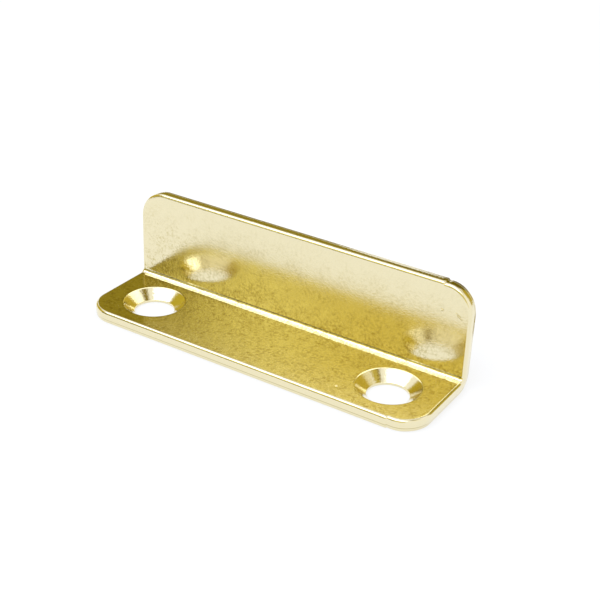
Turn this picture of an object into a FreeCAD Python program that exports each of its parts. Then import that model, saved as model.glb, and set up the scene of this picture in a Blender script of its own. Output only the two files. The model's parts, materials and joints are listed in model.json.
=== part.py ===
# Angle strike plate: one blank of sheet metal with round corners, folded square along its
# length and countersunk for two flat-head screws. The foot is screwed down and the lip stands
# up from its back edge to catch the bolt of a cabinet lock.
#
# Frame, in millimetres: +X runs along the fold, +Y points from the free edge of the foot to the
# back of the lip, and +Z is up. The origin is midway between the screw holes, on the underside
# of the foot, which is the face that seats on the cabinet.

import FreeCAD
import Part

import math
import os
from enum import IntEnum

import Sketcher

NODE = "strike_plate"
TOLERANCE = 1e-4


class At(IntEnum):
    """Points of a sketched line, arc or circle."""

    START = 1
    END = 2
    CENTRE = 3


X_AXIS = -1
SKETCH_ORIGIN = (X_AXIS, At.START)

# Driving dimensions: name, size in millimetres or degrees, and what it is.
DRIVING_DIMENSIONS = [
    ("plate_length", 50.8, "length along the fold"),
    ("foot_depth", 14.3, "foot, from its free edge to the back of the lip"),
    ("lip_height", 14.3, "lip, from the underside of the foot to its top edge"),
    ("sheet_thickness", 1.6, "thickness of the sheet"),
    ("fold_radius", 0.65, "inside radius of the fold"),
    ("corner_radius", 4.0, "round corners of the foot and the lip"),
    ("hole_spacing", 36.5, "screw hole to screw hole"),
    ("screw_hole_diameter", 5.4, "through hole"),
    ("countersink_diameter", 8.4, "countersink at the face of the foot"),
    ("countersink_angle", 100.0, "full angle of the countersink"),
    ("rolled_edge_radius", 0.4, "edge that the blanking punch drew down, on the inner skin"),
    ("deburred_edge_radius", 0.15, "edge broken by tumbling, on the outer skin"),
    ("rim_radius", 0.1, "edge of each countersink"),
]


def make_sizes(doc):
    """Writes the driving dimensions to a spreadsheet, one aliased cell each."""
    sizes = doc.addObject("Spreadsheet::Sheet", "sizes")
    for row, (name, size, meaning) in enumerate(DRIVING_DIMENSIONS, start=1):
        sizes.set(f"A{row}", name)
        sizes.set(f"B{row}", str(size))
        sizes.set(f"C{row}", meaning)
        sizes.setAlias(f"B{row}", name)
    doc.recompute()
    return sizes


def origin_plane(body, role):
    """The body's own origin plane with this role, such as YZ_Plane."""
    return next(plane for plane in body.Origin.OriginFeatures if plane.Role == role)


def new_sketch(body, name, role):
    """An empty sketch on one of the body's origin planes."""
    sketch = body.newObject("Sketcher::SketchObject", name)
    sketch.AttachmentSupport = [(origin_plane(body, role), "")]
    sketch.MapMode = "FlatFace"
    return sketch


def constrain(sketch, kind, *references, name=None, size=None):
    """Adds a constraint. A size is an expression on the spreadsheet, bound to the named constraint."""
    index = sketch.addConstraint(Sketcher.Constraint(kind, *references))
    if name:
        sketch.renameConstraint(index, name)
        sketch.setExpression(f"Constraints.{name}", size)


def draw_section(sketch, sizes):
    """Draws the L section of the folded sheet, with both skins round the same fold axis."""
    sheet = sizes.sheet_thickness
    front = -(sizes.foot_depth - sheet) / 2
    back = (sizes.foot_depth + sheet) / 2
    face = back - sheet
    top = sizes.lip_height
    inside = sizes.fold_radius
    outside = inside + sheet
    fold_y = back - outside
    fold_z = outside
    up = FreeCAD.Vector(0, 0, 1)

    def line(start, end):
        points = [FreeCAD.Vector(y, z, 0) for y, z in (start, end)]
        return sketch.addGeometry(Part.LineSegment(*points), False)

    def fold(radius):
        circle = Part.Circle(FreeCAD.Vector(fold_y, fold_z, 0), up, radius)
        return sketch.addGeometry(Part.ArcOfCircle(circle, -math.pi / 2, 0), False)

    underside = line((front, 0), (fold_y, 0))
    fold_outside = fold(outside)
    lip_back = line((back, fold_z), (back, top))
    lip_top = line((back, top), (face, top))
    lip_face = line((face, top), (face, fold_z))
    fold_inside = fold(inside)
    foot_face = line((fold_y, sheet), (front, sheet))
    foot_front = line((front, sheet), (front, 0))

    constrain(sketch, "Tangent", underside, At.END, fold_outside, At.START)
    constrain(sketch, "Tangent", fold_outside, At.END, lip_back, At.START)
    constrain(sketch, "Coincident", lip_back, At.END, lip_top, At.START)
    constrain(sketch, "Coincident", lip_top, At.END, lip_face, At.START)
    constrain(sketch, "Tangent", lip_face, At.END, fold_inside, At.END)
    constrain(sketch, "Tangent", fold_inside, At.START, foot_face, At.START)
    constrain(sketch, "Coincident", foot_face, At.END, foot_front, At.START)
    constrain(sketch, "Coincident", foot_front, At.END, underside, At.START)
    constrain(sketch, "Coincident", fold_inside, At.CENTRE, fold_outside, At.CENTRE)
    for level in (underside, lip_top, foot_face):
        constrain(sketch, "Horizontal", level)
    for upright in (lip_back, lip_face, foot_front):
        constrain(sketch, "Vertical", upright)

    constrain(sketch, "PointOnObject", underside, At.START, X_AXIS)
    constrain(
        sketch, "Radius", fold_inside, inside,
        name="inside_radius", size="sizes.fold_radius",
    )
    constrain(
        sketch, "Radius", fold_outside, outside,
        name="outside_radius", size="sizes.fold_radius + sizes.sheet_thickness",
    )
    constrain(
        sketch, "DistanceX", underside, At.START, *SKETCH_ORIGIN, -front,
        name="holes_to_front", size="(sizes.foot_depth - sizes.sheet_thickness) / 2",
    )
    constrain(
        sketch, "DistanceX", *SKETCH_ORIGIN, lip_back, At.END, back,
        name="holes_to_back", size="(sizes.foot_depth + sizes.sheet_thickness) / 2",
    )
    constrain(
        sketch, "DistanceY", *SKETCH_ORIGIN, lip_back, At.END, top,
        name="height", size="sizes.lip_height",
    )


def draw_hole_centres(sketch, sizes):
    """Draws the two screw holes, either side of the origin, on the face of the foot."""
    sketch.setExpression("AttachmentOffset.Base.z", "sizes.sheet_thickness")
    up = FreeCAD.Vector(0, 0, 1)
    left, right = (
        sketch.addGeometry(
            Part.Circle(
                FreeCAD.Vector(side * sizes.hole_spacing / 2, 0, 0), up, sizes.screw_hole_diameter / 2
            ),
            False,
        )
        for side in (-1, 1)
    )
    constrain(sketch, "Symmetric", left, At.CENTRE, right, At.CENTRE, *SKETCH_ORIGIN)
    constrain(sketch, "PointOnObject", right, At.CENTRE, X_AXIS)
    constrain(sketch, "Equal", left, right)
    constrain(
        sketch, "Diameter", right, sizes.screw_hole_diameter,
        name="hole", size="sizes.screw_hole_diameter",
    )
    constrain(
        sketch, "DistanceX", left, At.CENTRE, right, At.CENTRE, sizes.hole_spacing,
        name="spacing", size="sizes.hole_spacing",
    )


def depth_in_sheet(point, sizes):
    """How far a point of the plate lies below the outer skin: 0 there, the thickness on the inner skin."""
    outside = sizes.fold_radius + sizes.sheet_thickness
    back = (sizes.foot_depth + sizes.sheet_thickness) / 2
    from_axis_y = point.y - (back - outside)
    from_axis_z = outside - point.z
    if from_axis_y > 0 and from_axis_z > 0:
        return outside - math.hypot(from_axis_y, from_axis_z)
    return point.z if from_axis_y <= 0 else back - point.y


def corner_edges(shape, sizes):
    """Names of the four short edges where the blank's ends meet its two long sides."""
    front = -(sizes.foot_depth - sizes.sheet_thickness) / 2
    names = []
    for index, edge in enumerate(shape.Edges, start=1):
        points = [vertex.Point for vertex in edge.Vertexes]
        at_end = edge.BoundBox.XLength < TOLERANCE
        at_foot_front = all(abs(p.y - front) < TOLERANCE for p in points)
        at_lip_top = all(abs(p.z - sizes.lip_height) < TOLERANCE for p in points)
        if at_end and (at_foot_front or at_lip_top):
            names.append(f"Edge{index}")
    return names


def outline_edges(shape, depth, sizes):
    """Names of the edges round the whole outline of the skin that lies at this depth in the sheet."""

    def on_skin(face):
        return all(abs(depth_in_sheet(v.Point, sizes) - depth) < TOLERANCE for v in face.Vertexes)

    skin = [face for face in shape.Faces if on_skin(face)]
    names = []
    for index, edge in enumerate(shape.Edges, start=1):
        uses = sum(edge.isSame(other) for face in skin for other in face.Edges)
        if uses == 1 and not edge.isClosed():
            names.append(f"Edge{index}")
    return names


def rim_edges(shape, sizes):
    """Names of the circles where the countersinks meet the face of the foot."""
    names = []
    for index, edge in enumerate(shape.Edges, start=1):
        if not edge.isClosed() or not isinstance(edge.Curve, Part.Circle):
            continue
        same_size = abs(2 * edge.Curve.Radius - sizes.countersink_diameter) < TOLERANCE
        on_face = abs(edge.Curve.Center.z - sizes.sheet_thickness) < TOLERANCE
        if same_size and on_face:
            names.append(f"Edge{index}")
    return names


def round_edges(body, name, names, radius):
    """Fillets the named edges of the body's last feature with a radius from the spreadsheet."""
    rounding = body.newObject("PartDesign::Fillet", name)
    rounding.Base = (rounding.BaseFeature, names)
    rounding.setExpression("Radius", f"sizes.{radius}")
    body.Document.recompute()
    return rounding


def make_strike_plate(doc, sizes):
    """The plate as it is made: sheet and fold, round corners, edges, then countersunk holes."""
    body = doc.addObject("PartDesign::Body", NODE)
    body.Label = NODE

    section = new_sketch(body, "section", "YZ_Plane")
    draw_section(section, sizes)
    angle = body.newObject("PartDesign::Pad", "folded_sheet")
    angle.Profile = section
    angle.Midplane = True
    angle.setExpression("Length", "sizes.plate_length")
    doc.recompute()

    corners = round_edges(body, "round_corners", corner_edges(angle.Shape, sizes), "corner_radius")
    inner = outline_edges(corners.Shape, sizes.sheet_thickness, sizes)
    rolled = round_edges(body, "rolled_edge", inner, "rolled_edge_radius")
    outer = outline_edges(rolled.Shape, 0, sizes)
    deburred = round_edges(body, "deburred_edge", outer, "deburred_edge_radius")

    centres = new_sketch(body, "hole_centres", "XY_Plane")
    draw_hole_centres(centres, sizes)
    doc.recompute()
    holes = body.newObject("PartDesign::Hole", "screw_holes")
    holes.Profile = centres
    doc.recompute()
    holes.ThreadType = "None"
    holes.DepthType = "ThroughAll"
    holes.HoleCutType = "Countersink"
    holes.HoleCutCustomValues = True
    holes.setExpression("Diameter", "sizes.screw_hole_diameter")
    holes.setExpression("HoleCutDiameter", "sizes.countersink_diameter")
    holes.setExpression("HoleCutCountersinkAngle", "sizes.countersink_angle")
    doc.recompute()
    if holes.Shape.Volume >= deburred.Shape.Volume:
        raise RuntimeError("the screw holes cut nothing")

    round_edges(body, "countersink_rims", rim_edges(holes.Shape, sizes), "rim_radius")
    return body


def check(doc, bodies):
    """Stops if any object failed to build or a sub-part isn't one valid solid."""
    for item in doc.Objects:
        if {"Invalid", "Error"} & set(item.State):
            raise RuntimeError(f"{item.Label} failed: {item.State}")
    for body in bodies:
        shape = body.Shape
        if shape.isNull() or not shape.isValid() or len(shape.Solids) != 1:
            raise RuntimeError(f"{body.Label} isn't one valid solid")


def main():
    doc = FreeCAD.newDocument("angle_strike_plate")
    sizes = make_sizes(doc)
    bodies = [make_strike_plate(doc, sizes)]
    doc.recompute()
    check(doc, bodies)
    os.makedirs("parts", exist_ok=True)
    for body in bodies:
        body.Shape.exportStep(os.path.join("parts", f"{body.Label}.step"))
        box = body.Shape.optimalBoundingBox(False)
        print(
            f"{body.Label}: {box.XLength:.2f} x {box.YLength:.2f} x {box.ZLength:.2f} mm, "
            f"{body.Shape.Volume:.1f} mm3, {len(body.Shape.Faces)} faces"
        )


main()
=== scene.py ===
"""Looks of a bright brass angle strike plate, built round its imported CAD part.

The plate is made as the real one is: a flat blank with round corners and two countersunk holes is
drawn first, and a Geometry Nodes tree then folds it along its length. A small studio stands round it.
All sizes are in millimetres until a mesh is made, and the finished meshes are in metres.
"""

import json
import logging
import math
from dataclasses import dataclass, field
from enum import Enum
from typing import Any, Mapping

import bmesh
import bpy
from mathutils import Matrix, Vector
from mathutils.geometry import delaunay_2d_cdt

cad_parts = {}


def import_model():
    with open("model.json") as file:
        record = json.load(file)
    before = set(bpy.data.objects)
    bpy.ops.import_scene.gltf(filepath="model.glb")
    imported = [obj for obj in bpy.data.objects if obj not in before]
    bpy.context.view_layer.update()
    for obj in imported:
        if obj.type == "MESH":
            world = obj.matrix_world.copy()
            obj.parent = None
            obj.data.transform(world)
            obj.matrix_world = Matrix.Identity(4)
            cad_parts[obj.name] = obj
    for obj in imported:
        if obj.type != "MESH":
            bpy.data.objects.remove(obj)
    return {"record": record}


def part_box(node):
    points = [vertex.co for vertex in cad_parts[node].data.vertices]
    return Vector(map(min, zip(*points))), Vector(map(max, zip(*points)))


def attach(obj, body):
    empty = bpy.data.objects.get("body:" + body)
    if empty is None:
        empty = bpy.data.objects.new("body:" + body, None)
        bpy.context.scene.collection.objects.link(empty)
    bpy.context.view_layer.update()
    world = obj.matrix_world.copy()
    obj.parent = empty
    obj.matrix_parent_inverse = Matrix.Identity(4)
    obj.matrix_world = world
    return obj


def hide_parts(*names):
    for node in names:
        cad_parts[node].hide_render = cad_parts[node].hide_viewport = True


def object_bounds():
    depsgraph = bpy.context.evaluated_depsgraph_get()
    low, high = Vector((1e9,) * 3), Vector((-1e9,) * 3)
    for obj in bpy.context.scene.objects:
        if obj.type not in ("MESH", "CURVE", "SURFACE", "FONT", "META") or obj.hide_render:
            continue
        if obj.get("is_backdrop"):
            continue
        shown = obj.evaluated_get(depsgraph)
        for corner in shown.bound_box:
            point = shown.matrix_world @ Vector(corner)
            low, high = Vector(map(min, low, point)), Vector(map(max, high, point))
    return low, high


LOG = logging.getLogger("strike_plate")
NODE = "strike_plate"
BODY = "root"
SLOT = "bright_brass"
MM = 0.001
BLACK = (0.0, 0.0, 0.0, 1.0)
WHITE = (1.0, 1.0, 1.0, 1.0)
# The way of triangulating that keeps only what lies inside the outline.
TRIANGLES_INSIDE = 1

Point2 = tuple[float, float]
ProfilePoint = tuple[float, float, float]
Colour = tuple[float, float, float, float]


class SurfaceMark(Enum):
    """Point attributes that tell the finish how a stretch of the surface was made, and where it paints
    shade.
    """

    CUT = "cut_edge"
    RUN = "edge_run"
    TURNED = "turned_cone"
    TORN = "torn_line"
    # Grain on each face. Up the lip its dulling fades out, which paints shade on the lip's lower part.
    GRAIN_AND_SHADE = "satin_face"


Marks = Mapping[SurfaceMark, bpy.types.NodeSocket]


def linear_colour(hex_code: str) -> Colour:
    """Turns an sRGB hex value into a linear colour.

    Args:
        hex_code: Six hex digits, with or without a leading hash.

    Returns:
        Red, green, blue and an alpha of 1.
    """
    digits = hex_code.lstrip("#")
    channels = [int(digits[i:i + 2], 16) / 255 for i in (0, 2, 4)]
    red, green, blue = (c / 12.92 if c <= 0.04045 else ((c + 0.055) / 1.055) ** 2.4 for c in channels)
    return red, green, blue, 1.0


def add_node(
    tree: bpy.types.NodeTree,
    kind: str,
    inputs: Mapping[str | int, Any] | None = None,
    **settings: Any,
) -> bpy.types.Node:
    """Adds a node with its settings, and links or sets its inputs.

    Args:
        tree: The tree that gets the node.
        kind: The node's type name in Blender.
        inputs: Input name or index to a source socket, which is linked, or to a plain value.
        **settings: Properties of the node itself.

    Returns:
        The new node.
    """
    node = tree.nodes.new(kind)
    for name, value in settings.items():
        setattr(node, name, value)
    for name, value in (inputs or {}).items():
        if isinstance(value, bpy.types.NodeSocket):
            tree.links.new(value, node.inputs[name])
        else:
            node.inputs[name].default_value = value
    return node


def heading(azimuth: float, elevation: float) -> Vector:
    """Direction away from the plate.

    Args:
        azimuth: Degrees to the right of straight in front, seen from above.
        elevation: Degrees above the table.

    Returns:
        A unit vector.
    """
    turn = math.radians(azimuth)
    rise = math.radians(elevation)
    return Vector((
        math.sin(turn) * math.cos(rise),
        -math.cos(turn) * math.cos(rise),
        math.sin(rise),
    ))


def stage_piece(name: str, mesh: bmesh.types.BMesh) -> bpy.types.Object:
    """Makes a stage object of a mesh, which isn't part of the plate.

    Args:
        name: Name of the object.
        mesh: Its mesh in metres, which is freed.

    Returns:
        The new object, in the scene.
    """
    data = bpy.data.meshes.new(name)
    mesh.to_mesh(data)
    mesh.free()
    piece = bpy.data.objects.new(name, data)
    bpy.context.scene.collection.objects.link(piece)
    piece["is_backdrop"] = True
    return piece


@dataclass(frozen=True)
class Pattern:
    """A noise pattern: the size of its marks in millimetres, and how much finer noise lies in them."""

    size_mm: float
    detail: float
    roughness: float = 0.5

    def inputs(self) -> dict[str, float]:
        """Values for the inputs of a noise texture."""
        return {"Scale": 1 / (self.size_mm * MM), "Detail": self.detail, "Roughness": self.roughness}


@dataclass(frozen=True)
class BrightBrass:
    """Bright brass plate on steel sheet, tumbled smooth before plating and clear-coated after.

    Tumbling leaves the faces a soft, finely pitted mirror, clear on the foot and hazier up the lip, so
    what they reflect blurs with distance. A satin grain gathers in patches on the inner face and dulls
    the colour there. Up the lip the dulling fades out, which is painted shade: the lip is duller low down
    than at its top. Along the torn line of the cut edge the colour is dulled too, partly as torn metal and
    partly as painted shade. The cut edge keeps the slanted marks of the blanking die, and the countersinks
    keep the rings of the turning tool. The lacquer adds a thin white gleam over the yellow metal.
    """

    metal: str = "#ECE2BB"
    # The grain colour also paints shade: low on the lip, and partly along the torn line of the cut edge.
    grain: str = "#C6B678"
    patch_pattern: Pattern = Pattern(1.7, 3.0, 0.6)
    # Real grain, pits, die marks and rings are too fine to show, so these four are drawn coarser.
    grain_pattern: Pattern = Pattern(0.42, 4.0, 0.75)
    pit_pattern: Pattern = Pattern(0.22, 2.0)
    shear_pattern: Pattern = Pattern(0.35, 2.0)
    ring_pattern: Pattern = Pattern(0.22, 1.0)
    # The ranges are the values of the noise between which a pattern goes from none to full.
    grain_range: tuple[float, float] = (0.44, 0.66)
    gather_range: tuple[float, float] = (0.38, 0.62)
    haze_range: tuple[float, float] = (0.3, 0.7)
    grain_spread: float = 0.8
    foot_roughness: float = 0.1
    lip_roughness: float = 0.2
    haze_from_mm: float = 5.0
    haze_to_mm: float = 10.0
    roughness_spread: float = 0.02
    turned_roughness: float = 0.12
    cut_roughness: float = 0.1
    lacquer: float = 0.9
    lacquer_roughness: float = 0.12
    pit_depth_mm: float = 0.011
    shear_slant: float = 0.5
    shear_depth_mm: float = 0.012
    ring_depth_mm: float = 0.004

    def material(self, hole_offset_mm: float) -> bpy.types.Material:
        """Builds the node material.

        Args:
            hole_offset_mm: Distance of each screw hole from the middle of the plate.

        Returns:
            The brass material, on Object coordinates and the plate's own surface marks.
        """
        # Bright brass plate under a clear lacquer.
        material = bpy.data.materials.new(SLOT)
        material.use_nodes = True
        tree = material.node_tree
        tree.nodes.clear()

        place = add_node(tree, "ShaderNodeTexCoord").outputs["Object"]
        marks = {
            mark: add_node(tree, "ShaderNodeAttribute", attribute_name=mark.value).outputs["Fac"]
            for mark in SurfaceMark
        }
        patches = add_node(
            tree, "ShaderNodeTexNoise", {"Vector": place, **self.patch_pattern.inputs()}
        ).outputs["Fac"]
        shader = add_node(
            tree,
            "ShaderNodeBsdfPrincipled",
            {
                "Base Color": self.colour(tree, place, patches, marks),
                "Metallic": 1.0,
                "Roughness": self.roughness(tree, place, patches, marks),
                "Normal": self.relief(tree, place, marks, hole_offset_mm),
                "Coat Weight": self.lacquer,
                "Coat Roughness": self.lacquer_roughness,
            },
        )
        add_node(tree, "ShaderNodeOutputMaterial", {"Surface": shader.outputs["BSDF"]})
        return material

    def roughness(
        self,
        tree: bpy.types.NodeTree,
        place: bpy.types.NodeSocket,
        patches: bpy.types.NodeSocket,
        marks: Marks,
    ) -> bpy.types.NodeSocket:
        """Makes the faces clear on the foot and hazy up the lip, and the cut and turned faces even.

        Args:
            tree: The material's tree.
            place: Object coordinates.
            patches: Noise that makes the faces uneven.
            marks: The plate's surface marks.

        Returns:
            The roughness.
        """
        low, high = self.haze_range
        uneven = add_node(
            tree,
            "ShaderNodeMapRange",
            {
                "Value": patches,
                "From Min": low,
                "From Max": high,
                "To Min": -self.roughness_spread,
                "To Max": self.roughness_spread,
            },
        ).outputs["Result"]
        height = add_node(tree, "ShaderNodeSeparateXYZ", {"Vector": place}).outputs["Z"]
        haze = add_node(
            tree,
            "ShaderNodeMapRange",
            {
                "Value": height,
                "From Min": self.haze_from_mm * MM,
                "From Max": self.haze_to_mm * MM,
                "To Min": self.foot_roughness,
                "To Max": self.lip_roughness,
            },
        ).outputs["Result"]
        face = add_node(tree, "ShaderNodeMath", {0: uneven, 1: haze}, operation="ADD").outputs[0]
        with_edge = add_node(
            tree, "ShaderNodeMix", {0: marks[SurfaceMark.CUT], 2: face, 3: self.cut_roughness}
        ).outputs[0]
        return add_node(
            tree, "ShaderNodeMix", {0: marks[SurfaceMark.TURNED], 2: with_edge, 3: self.turned_roughness}
        ).outputs[0]

    def colour(
        self,
        tree: bpy.types.NodeTree,
        place: bpy.types.NodeSocket,
        patches: bpy.types.NodeSocket,
        marks: Marks,
    ) -> bpy.types.NodeSocket:
        """Dulls the metal's colour in the satin grain, which fades up the lip as painted shade, and along
        the torn line of the cut edge, partly as torn metal and partly as painted shade.

        Args:
            tree: The material's tree.
            place: Object coordinates.
            patches: Noise that the grain gathers in.
            marks: The plate's surface marks.

        Returns:
            The base colour.
        """
        low, high = self.gather_range
        gathered = add_node(
            tree,
            "ShaderNodeMapRange",
            {
                "Value": patches,
                "From Min": low,
                "From Max": high,
                "To Min": 1 - self.grain_spread,
                "To Max": 1 + self.grain_spread,
            },
        ).outputs["Result"]
        # Grain share times its patches. On the lip it fades towards the top, so this also paints shade low
        # on the lip.
        most_grain_and_shade = add_node(
            tree, "ShaderNodeMath", {0: marks[SurfaceMark.GRAIN_AND_SHADE], 1: gathered}, operation="MULTIPLY"
        ).outputs[0]
        noise = add_node(
            tree, "ShaderNodeTexNoise", {"Vector": place, **self.grain_pattern.inputs()}
        ).outputs["Fac"]
        low, high = self.grain_range
        grains_and_shade = add_node(
            tree,
            "ShaderNodeMapRange",
            {"Value": noise, "From Min": low, "From Max": high, "To Max": most_grain_and_shade},
        ).outputs["Result"]
        # Along the torn line the colour is dulled as well: partly the torn metal's tone, partly a painted
        # dark line of shade under the edge.
        dulled = add_node(
            tree, "ShaderNodeMath", {0: grains_and_shade, 1: marks[SurfaceMark.TORN]}, operation="MAXIMUM"
        ).outputs[0]
        return add_node(
            tree,
            "ShaderNodeMix",
            {"Factor": dulled, 6: linear_colour(self.metal), 7: linear_colour(self.grain)},
            data_type="RGBA",
        ).outputs[2]

    def relief(
        self,
        tree: bpy.types.NodeTree,
        place: bpy.types.NodeSocket,
        marks: Marks,
        hole_offset_mm: float,
    ) -> bpy.types.NodeSocket:
        """Adds the pits of the faces, the die marks of the cut edge and the rings of the cones.

        Args:
            tree: The material's tree.
            place: Object coordinates.
            marks: The plate's surface marks.
            hole_offset_mm: Distance of each screw hole from the middle of the plate.

        Returns:
            The normal.
        """
        pits = add_node(
            tree, "ShaderNodeTexNoise", {"Vector": place, **self.pit_pattern.inputs()}
        ).outputs["Fac"]
        pitted = add_node(
            tree,
            "ShaderNodeBump",
            {"Height": pits, "Distance": self.pit_depth_mm * MM, "Strength": 1.0},
        ).outputs["Normal"]

        along = add_node(tree, "ShaderNodeSeparateXYZ", {"Vector": place}).outputs
        slanted = add_node(
            tree,
            "ShaderNodeMath",
            {0: along["Z"], 1: self.shear_slant, 2: marks[SurfaceMark.RUN]},
            operation="MULTIPLY_ADD",
        ).outputs[0]
        shear = add_node(
            tree,
            "ShaderNodeTexNoise",
            {"W": slanted, **self.shear_pattern.inputs()},
            noise_dimensions="1D",
        ).outputs["Fac"]
        sheared = add_node(
            tree,
            "ShaderNodeBump",
            {
                "Height": shear,
                "Distance": self.shear_depth_mm * MM,
                "Strength": marks[SurfaceMark.CUT],
                "Normal": pitted,
            },
        ).outputs["Normal"]

        from_middle = add_node(tree, "ShaderNodeMath", {0: along["X"]}, operation="ABSOLUTE").outputs[0]
        from_hole = add_node(
            tree, "ShaderNodeMath", {0: from_middle, 1: hole_offset_mm * MM}, operation="SUBTRACT"
        ).outputs[0]
        flat_offset = add_node(tree, "ShaderNodeCombineXYZ", {"X": from_hole, "Y": along["Y"]}).outputs[0]
        radius = add_node(
            tree, "ShaderNodeVectorMath", {0: flat_offset}, operation="LENGTH"
        ).outputs["Value"]
        rings = add_node(
            tree,
            "ShaderNodeTexNoise",
            {"W": radius, **self.ring_pattern.inputs()},
            noise_dimensions="1D",
        ).outputs["Fac"]
        return add_node(
            tree,
            "ShaderNodeBump",
            {
                "Height": rings,
                "Distance": self.ring_depth_mm * MM,
                "Strength": marks[SurfaceMark.TURNED],
                "Normal": sheared,
            },
        ).outputs["Normal"]


@dataclass(frozen=True)
class Dent:
    """A small mark in the inner face of the blank, with sizes in millimetres.

    A knock has both ends in one place, and a scratch runs from one end to the other. The ends are
    places on the flat blank. The shares are the rows of mesh corners across it, in radii.
    """

    start: Point2
    end: Point2
    radius: float
    depth: float
    shares: tuple[float, ...] = (-1.5, -1.0, -0.5, 0.0, 0.5, 1.0, 1.5)
    pitch: float = 0.1

    def distance(self, u: float, v: float) -> float:
        """Measures how far a point on the blank lies from the line of the mark.

        Args:
            u: Place along the fold.
            v: Place across the blank.

        Returns:
            The distance.
        """
        along = Vector(self.end) - Vector(self.start)
        offset = Vector((u, v)) - Vector(self.start)
        share = offset.dot(along) / along.length_squared if along.length else 0.0
        return (offset - along * min(max(share, 0.0), 1.0)).length

    def sink(self, u: float, v: float) -> float:
        """How deep the mark is at a point on the blank."""
        return self.depth * max(0.0, 1 - (self.distance(u, v) / self.radius) ** 2)

    def points(self) -> list[Point2]:
        """Places the corners that the mesh needs to hold the mark's shape.

        Returns:
            Points on the blank, in rows across the mark.
        """
        along = Vector(self.end) - Vector(self.start)
        way = along.normalized() if along.length else Vector((1.0, 0.0))
        across = Vector((-way.y, way.x))
        count = math.ceil(along.length / self.pitch)
        runs = [share * self.radius for share in self.shares if share <= 0]
        runs += [along.length * step / count for step in range(1, count)]
        runs += [along.length + share * self.radius for share in self.shares if share >= 0]
        places = []
        for run in sorted(set(runs)):
            for share in self.shares:
                place = Vector(self.start) + way * run + across * share * self.radius
                places.append((place.x, place.y))
        return places


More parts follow.
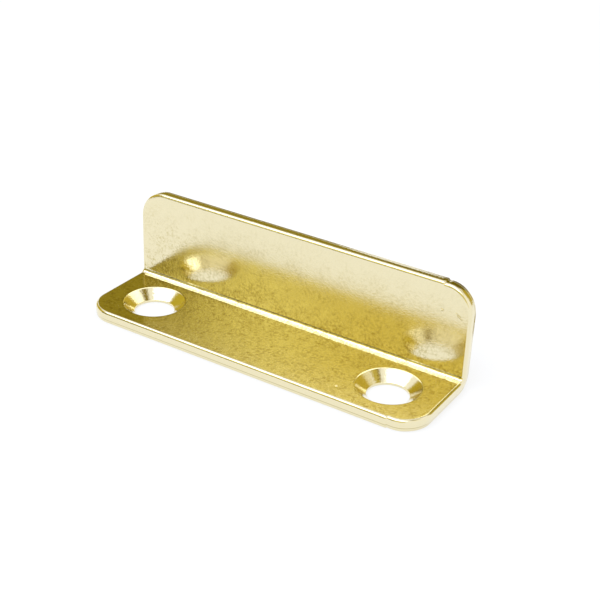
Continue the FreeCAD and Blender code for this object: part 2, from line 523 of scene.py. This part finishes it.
@dataclass
class StrikePlate:
    """The folded plate, with its sizes in millimetres.

    The blank lies flat in (u, v, w): u along the fold, v from the foot's free edge across the
    developed sheet, and w up from the outer skin, so that the inner skin is at the thickness.
    """

    length: float
    foot_depth: float
    lip_height: float
    hole_spacing: float
    hole_radius: float
    finish: BrightBrass = field(default_factory=BrightBrass)
    thickness: float = 1.6
    fold_radius: float = 0.65
    corner_radius: float = 4.0
    countersink_radius: float = 4.2
    countersink_angle: float = 100.0
    # Rounded edges: the inner skin's, the outer skin's, and the top and bottom of each screw hole.
    rolled_edge: float = 0.4
    deburred_edge: float = 0.15
    rim_radius: float = 0.28
    land_break: float = 0.1
    # The cut face is crowned where it was sheared. Under the fracture height it steps in and leans.
    fracture_height: float = 0.48
    fracture_step: float = 0.05
    edge_crown: float = 0.02
    fracture_lean: float = 0.02
    # A right-hand corner steps in where it leaves a long side, and runs out to its true arc.
    nick_depth: float = 0.2
    nick_width: float = 0.08
    nick_reach: float = 2.5
    # The satin is each face's share of the full grain. Up the lip it fades out over the given height, which
    # paints shade on the lip's lower part.
    foot_satin: float = 0.75
    lip_grain_and_shade: float = 0.9
    outer_satin: float = 0.1
    grain_and_shade_height: float = 14.0
    # A dot and two scratches near the lip's right-hand end, and a knock by the foot's free edge.
    dents: tuple[Dent, ...] = (
        Dent((21.44, 22.54), (21.44, 22.54), 0.17, 0.07),
        Dent((23.35, 22.68), (23.95, 22.38), 0.07, 0.03),
        Dent((23.5, 22.38), (24.2, 22.03), 0.07, 0.03),
        Dent((13.1, 2.4), (13.1, 2.4), 0.2, 0.05),
    )
    # The rest sets how fine the mesh is. The gaps are in cells, and the shares run down a cone or a land.
    hold: float = 0.05
    touch: float = 1e-4
    merge: float = 1e-6
    cell: float = 0.75
    edge_gap: float = 0.4
    hole_gap: float = 0.5
    dent_gap: float = 0.3
    hole_slack: float = 0.99
    cone_shares: tuple[float, ...] = (0.04, 0.35, 0.65, 0.96)
    land_share: float = 0.25
    fold_rows: int = 16
    corner_steps: int = 20
    hole_steps: int = 72
    round_steps: int = 6
    crown_steps: int = 8

    @classmethod
    def from_frame(cls, record: Mapping[str, Any]) -> "StrikePlate":
        """Takes the overall sizes from the CAD node and the hole pattern from the record.

        Args:
            record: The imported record.

        Returns:
            A plate that fits the CAD part.
        """
        low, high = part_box(NODE)
        size = (high - low) / MM
        holes = next(m for m in record["mounts"] if m["kind"] == "bolt_pattern")["dims"]
        return cls(size.x, size.y, size.z, holes["spacing_x_mm"], holes["hole_r_mm"])

    @property
    def outside_radius(self) -> float:
        """Radius of the fold on the outer skin."""
        return self.fold_radius + self.thickness

    @property
    def foot_flat(self) -> float:
        """Flat stretch of the foot, from its free edge to the fold."""
        return self.foot_depth - self.outside_radius

    @property
    def fold_arc(self) -> float:
        """Length of the fold along the middle of the sheet, which neither stretches nor shrinks."""
        return math.pi / 2 * (self.fold_radius + self.thickness / 2)

    @property
    def blank_width(self) -> float:
        """Developed width of the sheet, from the foot's free edge to the lip's."""
        return self.foot_flat + self.fold_arc + self.lip_height - self.outside_radius

    @property
    def front(self) -> float:
        """Place of the foot's free edge: the holes are midway between it and the face of the lip."""
        return -(self.foot_depth - self.thickness) / 2

    def rows(self) -> list[float]:
        """Places the mesh's rows across the blank.

        Returns:
            Places from the foot's free edge to the lip's, even on the flats and close in the fold.
        """
        fold_end = self.foot_flat + self.fold_arc
        foot_rows = round(self.foot_flat / self.cell)
        lip_rows = round((self.blank_width - fold_end) / self.cell)
        rows = [self.foot_flat * i / foot_rows for i in range(foot_rows)]
        rows += [self.foot_flat + self.fold_arc * i / self.fold_rows for i in range(self.fold_rows)]
        rows += [fold_end + (self.blank_width - fold_end) * i / lip_rows for i in range(lip_rows + 1)]
        return rows

    def columns(self) -> list[float]:
        """Places along the blank where the mesh has a column."""
        count = round(self.length / self.cell)
        return [self.length * (i / count - 0.5) for i in range(count + 1)]

    def outline(self) -> list[tuple[Point2, Point2]]:
        """Draws the outline of the blank, with the nicks of its right-hand corners.

        Returns:
            Points round the blank, anticlockwise, each with its outward direction.
        """
        half = self.length / 2
        radius = self.corner_radius
        inner_rows = [v for v in self.rows() if radius < v < self.blank_width - radius]
        last_column = half - radius - self.nick_width
        inner_columns = [u for u in self.columns() if abs(u) < last_column - self.nick_width]
        inner_columns = [-last_column, *inner_columns, last_column]
        corners = [
            (half - radius, radius),
            (half - radius, self.blank_width - radius),
            (radius - half, self.blank_width - radius),
            (radius - half, radius),
        ]
        sides = [
            [((half, v), (1.0, 0.0)) for v in inner_rows],
            [((u, self.blank_width), (0.0, 1.0)) for u in reversed(inner_columns)],
            [((-half, v), (-1.0, 0.0)) for v in reversed(inner_rows)],
            [((u, 0.0), (0.0, -1.0)) for u in inner_columns],
        ]
        points = []
        for quarter, ((u, v), side) in enumerate(zip(corners, sides)):
            is_nicked = u > 0
            for step in range(self.corner_steps + 1):
                share = step / self.corner_steps
                angle = math.pi / 2 * (quarter - 1 + share)
                way = (math.cos(angle), math.sin(angle))
                from_long_side = share if quarter % 2 == 0 else 1 - share
                reach = radius
                if is_nicked:
                    reach -= self.nick(from_long_side * math.pi / 2 * radius)
                points.append(((u + reach * way[0], v + reach * way[1]), way))
            points += side
        return points

    def nick(self, distance: float) -> float:
        """How far inside its true arc a corner is cut, where the punch doesn't quite meet a long side.

        Args:
            distance: How far along the arc from the long side.

        Returns:
            The depth into the sheet, which is 0 away from the step.
        """
        return self.nick_depth * max(1 - distance / self.nick_reach, 0.0) ** 2

    def edge_profile(self) -> list[ProfilePoint]:
        """Draws the section of the cut edge, from the inner skin to the outer.

        It is rolled over at the inner skin, slightly crowned where the punch sheared it, and steps in and
        leans where it tore. The outer skin's edge is deburred.

        Returns:
            Inset from the outline, height, and cut mark of each point.
        """
        top = self.thickness
        points = [(self.edge_crown + self.rolled_edge + self.hold, top, 0.0)]
        for index in range(self.round_steps + 1):
            angle = math.pi / 2 * index / self.round_steps
            points.append((
                self.edge_crown + self.rolled_edge * (1 - math.sin(angle)),
                top - self.rolled_edge * (1 - math.cos(angle)),
                0.0,
            ))
        shear_height = top - self.rolled_edge - self.fracture_height
        for index in range(1, self.crown_steps):
            share = index / self.crown_steps
            points.append((
                self.edge_crown * (2 * share - 1) ** 2,
                top - self.rolled_edge - shear_height * share,
                1.0,
            ))
        torn = self.edge_crown + self.fracture_step
        points.append((self.edge_crown, self.fracture_height, 1.0))
        points.append((torn, self.fracture_height - self.fracture_step, 1.0))
        points.append((torn, self.fracture_height - self.fracture_step - self.hold, 1.0))
        torn += self.fracture_lean
        points.append((torn, self.deburred_edge + self.hold, 1.0))
        for index in range(self.round_steps + 1):
            angle = math.pi / 2 * index / self.round_steps
            points.append((
                torn + self.deburred_edge * (1 - math.cos(angle)),
                self.deburred_edge * (1 - math.sin(angle)),
                0.0,
            ))
        points.append((torn + self.deburred_edge + self.hold, 0.0, 0.0))
        return points

    def hole_profile(self) -> list[ProfilePoint]:
        """Draws the section of a countersunk hole, from the inner skin to the outer.

        A rounded rim leads into the cone, which ends on a straight land with a broken lower edge.

        Returns:
            Radius, height, and turned mark of each point.
        """
        top = self.thickness
        half_angle = math.radians(self.countersink_angle / 2)
        turn = math.pi / 2 - half_angle
        rim_run = self.rim_radius * math.tan(turn / 2)
        points = [(self.countersink_radius + rim_run + self.hold, top, 0.0)]
        for step in range(self.round_steps + 1):
            angle = turn * step / self.round_steps
            points.append((
                self.countersink_radius + rim_run - self.rim_radius * math.sin(angle),
                top - self.rim_radius * (1 - math.cos(angle)),
                0.0,
            ))
        rim_radius, rim_height, _ = points[-1]
        land_height = top - (self.countersink_radius - self.hole_radius) / math.tan(half_angle)
        for share in self.cone_shares:
            points.append((
                rim_radius + (self.hole_radius - rim_radius) * share,
                rim_height + (land_height - rim_height) * share,
                1.0,
            ))
        points.append((self.hole_radius, land_height, 0.0))
        land_middle = land_height - (land_height - self.land_break) * self.land_share
        points.append((self.hole_radius, land_middle, 0.0))
        for step in range(self.round_steps + 1):
            angle = math.pi / 2 * step / self.round_steps
            points.append((
                self.hole_radius + self.land_break * (1 - math.cos(angle)),
                self.land_break * (1 - math.sin(angle)),
                0.0,
            ))
        points.append((self.hole_radius + self.land_break + self.hold, 0.0, 0.0))
        return points

    def hole_centres(self) -> list[Point2]:
        """Screw-hole centres on the blank."""
        across = -self.front
        return [(side * self.hole_spacing / 2, across) for side in (-1, 1)]

    def circle(self) -> list[Point2]:
        """Directions round a hole."""
        angles = [2 * math.pi * step / self.hole_steps for step in range(self.hole_steps)]
        return [(math.cos(angle), math.sin(angle)) for angle in angles]

    def is_inside(self, u: float, v: float, hole_radius: float) -> bool:
        """Tells whether a grid point keeps clear of the outline, the marks and the holes.

        Args:
            u: Place along the fold.
            v: Place across the blank.
            hole_radius: Radius at which the face ends at each hole.

        Returns:
            True if the face can have a corner there.
        """
        gap = self.rolled_edge + self.hold + self.cell * self.edge_gap
        half = self.length / 2
        if not (abs(u) < half - gap and gap < v < self.blank_width - gap):
            return False
        past_u = abs(u) - (half - self.corner_radius)
        past_v = abs(v - self.blank_width / 2) - (self.blank_width / 2 - self.corner_radius)
        if past_u > 0 and past_v > 0 and math.hypot(past_u, past_v) > self.corner_radius - gap:
            return False
        if any(dent.distance(u, v) < dent.radius + self.cell * self.dent_gap for dent in self.dents):
            return False
        clear_radius = hole_radius + self.cell * self.hole_gap
        return all(math.hypot(u - x, v - y) > clear_radius for x, y in self.hole_centres())

    @staticmethod
    def bridge(mesh: bmesh.types.BMesh, loops: list[list[bmesh.types.BMVert]]) -> None:
        """Joins each closed loop to the next with a band of quads.

        Args:
            mesh: The blank's mesh.
            loops: Loops of as many corners each.
        """
        for near, far in zip(loops, loops[1:]):
            for i in range(len(near)):
                j = (i + 1) % len(near)
                mesh.faces.new((near[i], near[j], far[j], far[i]))

    def add_edge(self, mesh: bmesh.types.BMesh) -> None:
        """Adds the cut edge all round the blank, with its marks.

        Args:
            mesh: The blank's mesh.
        """
        cut = mesh.verts.layers.float[SurfaceMark.CUT.value]
        run = mesh.verts.layers.float[SurfaceMark.RUN.value]
        torn = mesh.verts.layers.float[SurfaceMark.TORN.value]
        outline = self.outline()
        runs = [0.0]
        for ((last_u, last_v), _), ((u, v), _) in zip(outline, outline[1:]):
            runs.append(runs[-1] + math.hypot(u - last_u, v - last_v))
        loops = []
        for inset, height, mark in self.edge_profile():
            loop = [mesh.verts.new((u - inset * a, v - inset * b, height)) for (u, v), (a, b) in outline]
            # The torn line is where the colour is dulled: partly torn metal, partly painted shade.
            is_torn = self.fracture_height - self.fracture_step <= height <= self.fracture_height
            for vert, travelled in zip(loop, runs):
                vert[cut] = mark
                vert[run] = travelled * MM
                vert[torn] = float(is_torn)
            loops.append(loop)
        self.bridge(mesh, loops)

    def add_holes(self, mesh: bmesh.types.BMesh) -> None:
        """Adds the walls of the two countersunk holes, with their marks.

        Args:
            mesh: The blank's mesh.
        """
        turned = mesh.verts.layers.float[SurfaceMark.TURNED.value]
        for centre_u, centre_v in self.hole_centres():
            loops = []
            for radius, height, mark in self.hole_profile():
                loop = [
                    mesh.verts.new((centre_u + radius * a, centre_v + radius * b, height))
                    for a, b in self.circle()
                ]
                for vert in loop:
                    vert[turned] = mark
                loops.append(loop)
            self.bridge(mesh, loops)

    def add_skin(
        self,
        mesh: bmesh.types.BMesh,
        inset: float,
        hole_radius: float,
        height: float,
        dents: tuple[Dent, ...] = (),
    ) -> None:
        """Fills one face of the blank, from its outline to the edges of its holes.

        Args:
            mesh: The blank's mesh.
            inset: How far inside the outline the face ends.
            hole_radius: Radius at which the face ends at each hole.
            height: Height of the face above the outer skin.
            dents: The knocks and scratches of the face.
        """
        loops = [[(u - inset * a, v - inset * b) for (u, v), (a, b) in self.outline()]]
        for u, v in self.hole_centres():
            loops.append([(u + hole_radius * a, v + hole_radius * b) for a, b in self.circle()])
        points: list[Point2] = []
        edges = []
        for loop in loops:
            first = len(points)
            points += loop
            edges += [(first + i, first + (i + 1) % len(loop)) for i in range(len(loop))]
        points += [(u, v) for u in self.columns() for v in self.rows() if self.is_inside(u, v, hole_radius)]
        points += [place for dent in dents for place in dent.points()]
        corners, _, faces, *_ = delaunay_2d_cdt(
            [Vector(point) for point in points], edges, [], TRIANGLES_INSIDE, self.merge
        )
        verts = [
            mesh.verts.new((u, v, height - sum(dent.sink(u, v) for dent in dents)))
            for u, v in corners
        ]
        inside_hole = hole_radius * self.hole_slack
        for face in faces:
            u, v = (sum(corners[i][axis] for i in face) / len(face) for axis in (0, 1))
            if all(math.hypot(u - x, v - y) > inside_hole for x, y in self.hole_centres()):
                mesh.faces.new([verts[i] for i in face])

    def mark_grain_and_shade(self, mesh: bmesh.types.BMesh) -> None:
        """Marks how much grain each face has: most on the inner one, where it fades up the lip as painted
        shade.

        Args:
            mesh: The blank's mesh.
        """
        satin = mesh.verts.layers.float[SurfaceMark.GRAIN_AND_SHADE.value]
        for vert in mesh.verts:
            if vert.co.z > self.thickness - self.touch:
                # Up the lip the grain fades out, which paints shade on the lip's lower part.
                up_lip = max(vert.co.y - self.foot_flat, 0.0) / self.grain_and_shade_height
                vert[satin] = self.lip_grain_and_shade * max(1.0 - up_lip, 0.0) if up_lip else self.foot_satin
            elif vert.co.z < self.touch:
                vert[satin] = self.outer_satin

    def blank(self) -> bpy.types.Object:
        """Builds the flat blank, in millimetres, as a closed mesh with its surface marks.

        Returns:
            A new object that isn't in the scene.
        """
        mesh = bmesh.new()
        for mark in SurfaceMark:
            mesh.verts.layers.float.new(mark.value)
        self.add_edge(mesh)
        self.add_holes(mesh)
        edge = self.edge_profile()
        hole = self.hole_profile()
        self.add_skin(mesh, edge[0][0], hole[0][0], self.thickness, self.dents)
        self.add_skin(mesh, edge[-1][0], hole[-1][0], 0.0)
        bmesh.ops.remove_doubles(mesh, verts=mesh.verts[:], dist=self.touch)
        bmesh.ops.recalc_face_normals(mesh, faces=mesh.faces[:])
        self.mark_grain_and_shade(mesh)
        for face in mesh.faces:
            face.smooth = True

        data = bpy.data.meshes.new(f"{NODE}_blank")
        mesh.to_mesh(data)
        mesh.free()
        return bpy.data.objects.new(f"{NODE}_blank", data)

    def fold_inputs(self) -> dict[str, float]:
        """Gathers the sizes that the fold's tree takes.

        Returns:
            Name of each input to its value, in millimetres or radians.
        """
        return {
            "Foot Flat": self.foot_flat,
            "Fold Arc": self.fold_arc,
            "Fold Angle": math.pi / 2,
            "Outside Radius": self.outside_radius,
            "Fold Start": self.front + self.foot_flat,
        }

    def fold_tree(self, material: bpy.types.Material) -> bpy.types.NodeTree:
        """Builds the tree that folds the blank square about the fold axis and turns it to metres.

        Args:
            material: The finish that the folded plate gets.

        Returns:
            A geometry node group with the fold's sizes as named inputs.
        """
        tree = bpy.data.node_groups.new("fold_blank", "GeometryNodeTree")
        tree.interface.new_socket("Geometry", in_out="INPUT", socket_type="NodeSocketGeometry")
        tree.interface.new_socket("Geometry", in_out="OUTPUT", socket_type="NodeSocketGeometry")
        for name in self.fold_inputs():
            tree.interface.new_socket(name, in_out="INPUT", socket_type="NodeSocketFloat")
        given = add_node(tree, "NodeGroupInput").outputs

        place = add_node(tree, "GeometryNodeInputPosition").outputs[0]
        blank = add_node(tree, "ShaderNodeSeparateXYZ", {0: place}).outputs
        past_foot = add_node(
            tree, "ShaderNodeMath", {0: blank["Y"], 1: given["Foot Flat"]}, operation="SUBTRACT"
        ).outputs[0]
        past_fold = add_node(
            tree, "ShaderNodeMath", {0: past_foot, 1: given["Fold Arc"]}, operation="SUBTRACT"
        ).outputs[0]
        up_lip = add_node(
            tree, "ShaderNodeMath", {0: past_fold, 1: 0.0}, operation="MAXIMUM"
        ).outputs[0]
        on_foot = add_node(
            tree, "ShaderNodeMath", {0: past_foot, 1: 0.0}, operation="MINIMUM"
        ).outputs[0]
        from_fold = add_node(
            tree, "ShaderNodeMath", {0: on_foot, 1: up_lip}, operation="ADD"
        ).outputs[0]
        angle = add_node(
            tree,
            "ShaderNodeMapRange",
            {"Value": past_foot, "From Max": given["Fold Arc"], "To Max": given["Fold Angle"]},
        ).outputs[0]
        flat = add_node(
            tree, "ShaderNodeCombineXYZ", {"X": blank["X"], "Y": from_fold, "Z": blank["Z"]}
        ).outputs[0]
        axis = add_node(tree, "ShaderNodeCombineXYZ", {"Z": given["Outside Radius"]}).outputs[0]
        folded = add_node(
            tree,
            "ShaderNodeVectorRotate",
            {"Vector": flat, "Center": axis, "Angle": angle},
            rotation_type="X_AXIS",
        ).outputs[0]
        start = add_node(tree, "ShaderNodeCombineXYZ", {"Y": given["Fold Start"]}).outputs[0]
        placed = add_node(
            tree, "ShaderNodeVectorMath", {0: folded, 1: start}, operation="ADD"
        ).outputs[0]
        metres = add_node(
            tree, "ShaderNodeVectorMath", {0: placed, "Scale": MM}, operation="SCALE"
        ).outputs[0]

        bent = add_node(
            tree, "GeometryNodeSetPosition", {"Geometry": given["Geometry"], "Position": metres}
        ).outputs[0]
        real = add_node(tree, "GeometryNodeRealizeInstances", {0: bent}).outputs[0]
        dressed = add_node(
            tree, "GeometryNodeSetMaterial", {"Geometry": real, "Material": material}
        ).outputs[0]
        add_node(tree, "NodeGroupOutput", {0: dressed})
        return tree

    def build(self) -> bpy.types.Object:
        """Folds and dresses the blank and hangs it on the CAD body in place of the plain node.

        Returns:
            The finished plate.
        """
        blank = self.blank()
        scene = bpy.context.scene
        scene.collection.objects.link(blank)
        modifier = blank.modifiers.new("fold", "NODES")
        modifier.node_group = self.fold_tree(self.finish.material(self.hole_spacing / 2))
        sizes = self.fold_inputs()
        for item in modifier.node_group.interface.items_tree:
            if item.in_out == "INPUT" and item.name in sizes:
                modifier[item.identifier] = sizes[item.name]
        evaluated = blank.evaluated_get(bpy.context.evaluated_depsgraph_get())
        data = bpy.data.meshes.new_from_object(evaluated)
        data.name = f"{NODE}_brass"
        bpy.data.objects.remove(blank)

        plate = bpy.data.objects.new(f"{NODE}_brass", data)
        scene.collection.objects.link(plate)
        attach(plate, BODY)
        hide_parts(NODE)
        LOG.info("%s: %d faces", plate.name, len(data.polygons))
        return plate


@dataclass(frozen=True)
class Card:
    """A card that stands round the table, out of the picture, for the metal to mirror.

    It is a strip of a sphere round the plate, from one azimuth to another. Each edge runs straight
    between the elevations at its two ends, all in degrees. Azimuth 0 is in front of the plate, and the
    distance is in millimetres.
    """

    name: str
    colour: str
    azimuths: tuple[float, float]
    low: tuple[float, float]
    high: tuple[float, float]
    distance: float = 500.0
    columns: int = 24
    rows: int = 6

    def material(self) -> bpy.types.Material:
        """Makes the card's glowing face, which gives off its own colour in place of a lit card's, and
        mirrors nothing.

        Returns:
            The material.
        """
        # Card face that glows in its own colour, standing in for a lit card.
        material = bpy.data.materials.new(self.name)
        material.use_nodes = True
        shader = material.node_tree.nodes["Principled BSDF"]
        shader.inputs["Base Color"].default_value = BLACK
        shader.inputs["Specular IOR Level"].default_value = 0.0
        shader.inputs["Emission Color"].default_value = linear_colour(self.colour)
        shader.inputs["Emission Strength"].default_value = 1.0
        return material

    def build(self) -> None:
        """Adds the card to the stage, where only the metal sees it."""
        mesh = bmesh.new()
        strips = []
        for column in range(self.columns + 1):
            share = column / self.columns
            azimuth, low, high = (
                start + (end - start) * share for start, end in (self.azimuths, self.low, self.high)
            )
            strips.append([
                mesh.verts.new(heading(azimuth, low + (high - low) * row / self.rows) * self.distance * MM)
                for row in range(self.rows + 1)
            ])
        for near, far in zip(strips, strips[1:]):
            for row in range(self.rows):
                mesh.faces.new((near[row], far[row], far[row + 1], near[row + 1]))
        card = stage_piece(self.name, mesh)
        card.visible_camera = False
        card.visible_diffuse = False
        card.visible_shadow = False
        card.data.materials.append(self.material())


@dataclass
class Studio:
    """Pale table, white surround, a few cards and one softbox, with sizes in millimetres."""

    table_size: float = 6000.0
    table_gap: float = 0.02
    table_colour: str = "#909090"
    table_roughness: float = 0.9
    table_glow: float = 0.68
    surround: float = 1.05
    # Each card stands where the plate mirrors a stretch of that tone.
    cards: tuple[Card, ...] = (
        Card("back_left_card", "#95852A", (-154.0, -126.0), (4.0, 4.0), (48.0, 46.0)),
        Card("raised_card", "#84751E", (-160.0, -154.0), (26.0, 25.5), (56.0, 54.0)),
        Card("left_card", "#C6B23C", (-112.0, -60.0), (6.0, 6.0), (35.0, 37.0), 150.0),
        Card("near_left_card", "#DCD080", (-60.0, -37.0), (1.0, 1.0), (15.0, 15.0)),
        Card("front_left_card", "#9A8C28", (-60.0, -40.0), (16.0, 18.0), (39.0, 39.0)),
        Card("front_left_slant", "#9A8C28", (-40.0, -38.5), (26.5, 29.0), (39.0, 39.0)),
        Card("front_slant", "#FFF8A8", (-40.0, -38.5), (8.0, 8.0), (26.5, 29.0)),
        Card("front_card", "#FFF8A8", (-38.5, -30.0), (8.0, 8.0), (40.0, 40.0)),
        Card("front_dim_card", "#F2E482", (-30.0, -6.0), (8.0, 8.0), (41.0, 41.0)),
        Card("front_skirting", "#6E5F14", (-62.0, 10.0), (0.5, 0.5), (13.0, 13.0), 110.0),
        Card("front_right_card", "#DECD5A", (-6.0, 42.0), (2.0, 2.0), (32.0, 38.0)),
        Card("right_card", "#8E7B20", (84.0, 118.0), (58.0, 58.0), (72.0, 70.0)),
        Card("right_low_card", "#CDBA58", (84.0, 122.0), (47.0, 49.0), (58.0, 58.0)),
        Card("back_gold_card", "#BFAB40", (136.0, 158.0), (0.5, 0.5), (38.0, 40.0)),
        Card("back_dark_card", "#74651A", (158.0, 200.0), (12.0, 14.0), (56.0, 56.0)),
        Card("back_skirting", "#A8943A", (122.0, 238.0), (2.0, 2.0), (14.0, 14.0), 34.0),
    )
    softbox_distance: float = 600.0
    softbox_size: tuple[float, float] = (900.0, 430.0)
    softbox_azimuth: float = -12.0
    softbox_elevation: float = 58.0
    softbox_colour: str = "#D4E2FF"
    softbox_radiance: float = 2.0

    def table_material(self) -> bpy.types.Material:
        """Makes the table's white paper, which glows to white for the eye and in the metal.

        Returns:
            The material, which still takes the part's shadow.
        """
        # White paper, spread on the table under the plate.
        material = bpy.data.materials.new("white_paper")
        material.use_nodes = True
        tree = material.node_tree
        tree.nodes.clear()
        ray = add_node(tree, "ShaderNodeLightPath").outputs
        seen_or_mirrored = add_node(
            tree,
            "ShaderNodeMath",
            {0: ray["Is Camera Ray"], 1: ray["Is Glossy Ray"]},
            operation="MAXIMUM",
        ).outputs[0]
        seen = add_node(
            tree,
            "ShaderNodeMath",
            {0: seen_or_mirrored, 1: ray["Is Transmission Ray"]},
            operation="MAXIMUM",
        ).outputs[0]
        glow = add_node(
            tree, "ShaderNodeMath", {0: seen, 1: self.table_glow}, operation="MULTIPLY"
        ).outputs[0]
        shader = add_node(
            tree,
            "ShaderNodeBsdfPrincipled",
            {
                "Base Color": linear_colour(self.table_colour),
                "Roughness": self.table_roughness,
                "Specular IOR Level": 0.0,
                "Emission Color": WHITE,
                "Emission Strength": glow,
            },
        )
        add_node(tree, "ShaderNodeOutputMaterial", {"Surface": shader.outputs["BSDF"]})
        return material

    def build_table(self, floor_height: float) -> None:
        """Lays the table just under the part.

        Args:
            floor_height: Lowest point of the part, in metres.
        """
        mesh = bmesh.new()
        bmesh.ops.create_grid(mesh, x_segments=1, y_segments=1, size=self.table_size / 2 * MM)
        bmesh.ops.translate(mesh, verts=mesh.verts[:], vec=(0, 0, floor_height - self.table_gap * MM))
        table = stage_piece("table", mesh)
        table.data.materials.append(self.table_material())

    def build_cards(self) -> None:
        """Stands the cards round the table."""
        for card in self.cards:
            card.build()

    def build_light(self, aim: Vector) -> None:
        """Lights the plate with a white surround and one softbox.

        Args:
            aim: Where the softbox points, in metres.
        """
        world = bpy.data.worlds.new("white_surround")
        world.use_nodes = True
        background = world.node_tree.nodes["Background"]
        background.inputs["Color"].default_value = WHITE
        background.inputs["Strength"].default_value = self.surround
        bpy.context.scene.world = world

        away = heading(self.softbox_azimuth, self.softbox_elevation)
        data = bpy.data.lights.new("softbox", "AREA")
        data.color = linear_colour(self.softbox_colour)[:3]
        data.shape = "RECTANGLE"
        data.size, data.size_y = (size * MM for size in self.softbox_size)
        data.energy = self.softbox_radiance * math.pi * data.size * data.size_y
        softbox = bpy.data.objects.new("softbox", data)
        softbox.location = aim + away * self.softbox_distance * MM
        softbox.rotation_euler = away.to_track_quat("Z", "Y").to_euler()
        bpy.context.scene.collection.objects.link(softbox)


@dataclass(frozen=True)
class PhotoCamera:
    """The photograph's camera, as fitted to the plate's corners, in degrees and millimetres."""

    azimuth: float = 31.223
    elevation: float = 28.156
    roll: float = 2.605
    distance: float = 157.684
    aim: tuple[float, float, float] = (2.407, 4.219, 6.644)
    lens: float = 73.097
    sensor: float = 36.0
    nearest: float = 10.0
    furthest: float = 20000.0

    def build(self) -> None:
        """Adds the camera and makes it the scene's own."""
        back = heading(self.azimuth, self.elevation)
        right = heading(self.azimuth + 90, 0)
        up = back.cross(right)
        turned = Matrix((right, up, back)).transposed() @ Matrix.Rotation(math.radians(self.roll), 3, "Z")
        place = (Vector(self.aim) + back * self.distance) * MM
        data = bpy.data.cameras.new("photo_camera")
        data.sensor_width = self.sensor
        data.lens = self.lens
        data.clip_start = self.nearest * MM
        data.clip_end = self.furthest * MM
        camera = bpy.data.objects.new("photo_camera", data)
        camera.matrix_world = Matrix.Translation(place) @ turned.to_4x4()
        bpy.context.scene.collection.objects.link(camera)
        bpy.context.scene.camera = camera


def main() -> None:
    logging.basicConfig(level=logging.INFO, format="%(name)s: %(message)s")
    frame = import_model()
    cad_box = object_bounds()
    bpy.context.scene.view_settings.view_transform = "Standard"

    plate = StrikePlate.from_frame(frame["record"])
    plate.build()
    low, high = cad_box
    studio = Studio()
    studio.build_table(low.z)
    studio.build_cards()
    studio.build_light((low + high) / 2)
    PhotoCamera().build()


if __name__ == "__main__":
    main()
